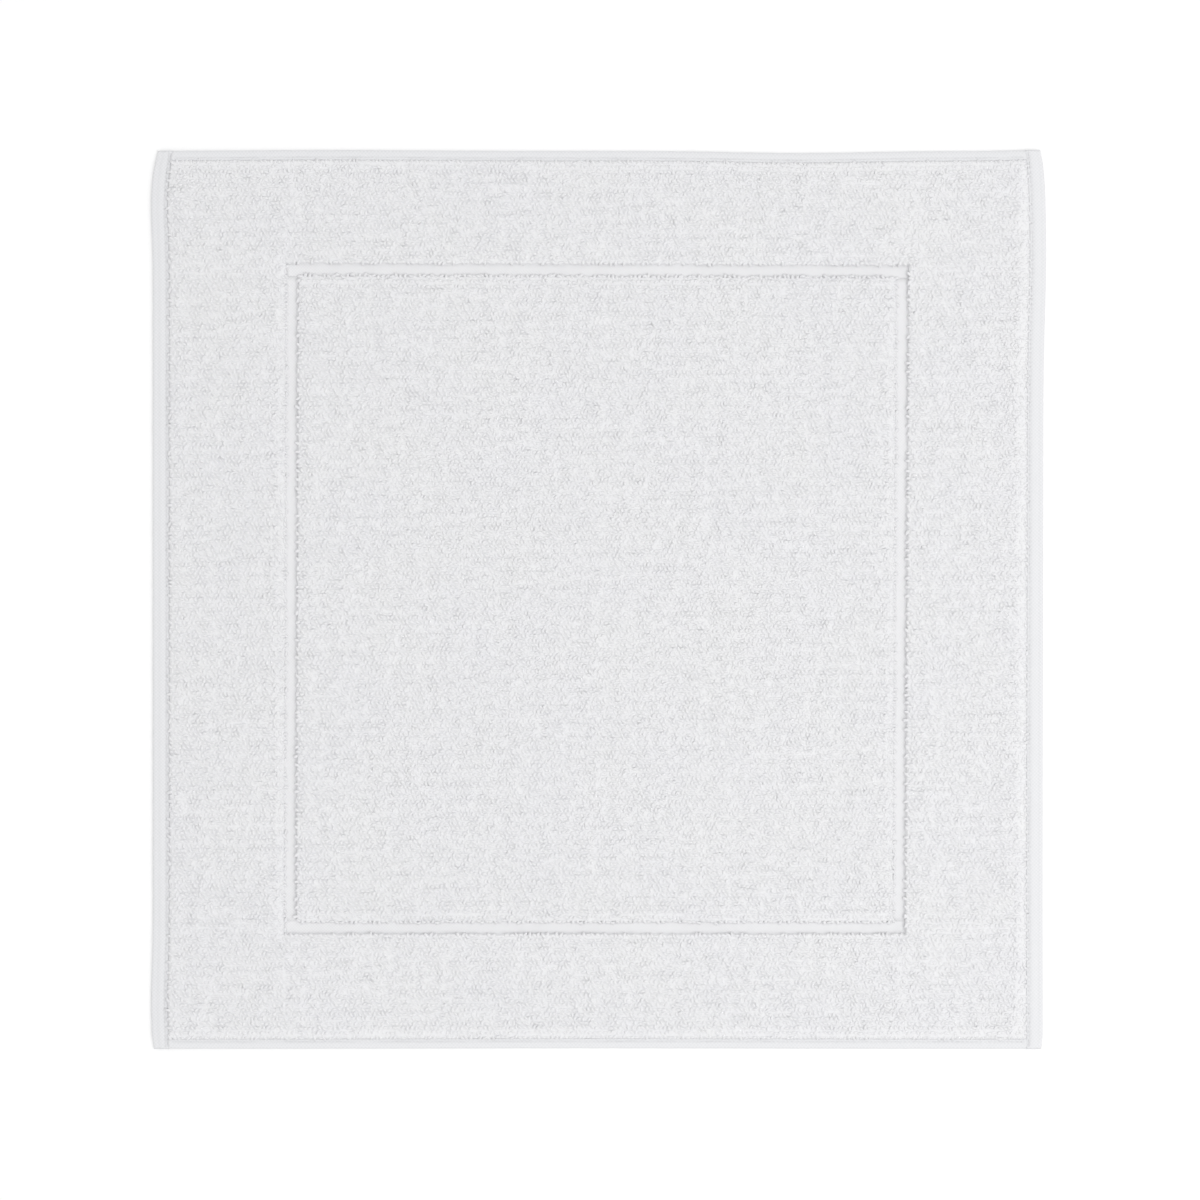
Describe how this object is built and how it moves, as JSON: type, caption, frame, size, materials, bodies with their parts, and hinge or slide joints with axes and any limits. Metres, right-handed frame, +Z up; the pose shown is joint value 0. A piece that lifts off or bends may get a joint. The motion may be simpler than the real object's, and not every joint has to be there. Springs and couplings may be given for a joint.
{
  "type": "bath mat",
  "caption": "Square terry bath mat with dense loop pile, a sunk flat-woven rectangle inside a wide border, and stitched hems on all edges.",
  "frame": {"origin": "middle of the underside, on the floor", "axes": "+Z up, +X across the width to the mat's right, +Y along the length to its back edge"},
  "size_m": [0.595, 0.6, 0.008],
  "materials": {
    "terry_loops": "white cotton terry loops, soft and matt",
    "ground_weave": "white cotton plain weave, matt",
    "flat_weave": "white cotton woven flat and tight, matt",
    "hem_cloth": "white cotton rib weave, turned under and pressed",
    "sewing_thread": "white twisted sewing thread, slight sheen"
  },
  "bodies": {
    "root": {"ground_cloth": "ground_weave", "centre_pile": "terry_loops", "side_hem_left": "hem_cloth", "needle_thread_left": "sewing_thread", "bobbin_thread_left": "sewing_thread", "border_pile_left": "terry_loops", "flat_line_left": "flat_weave", "end_hem_front": "hem_cloth", "needle_thread_front": "sewing_thread", "bobbin_thread_front": "sewing_thread", "border_pile_front": "terry_loops", "flat_line_front": "flat_weave", "side_hem_right": "hem_cloth", "needle_thread_right": "sewing_thread", "bobbin_thread_right": "sewing_thread", "border_pile_right": "terry_loops", "flat_line_right": "flat_weave", "end_hem_back": "hem_cloth", "needle_thread_back": "sewing_thread", "bobbin_thread_back": "sewing_thread", "border_pile_back": "terry_loops", "flat_line_back": "flat_weave"}
  },
  "joints": []
}
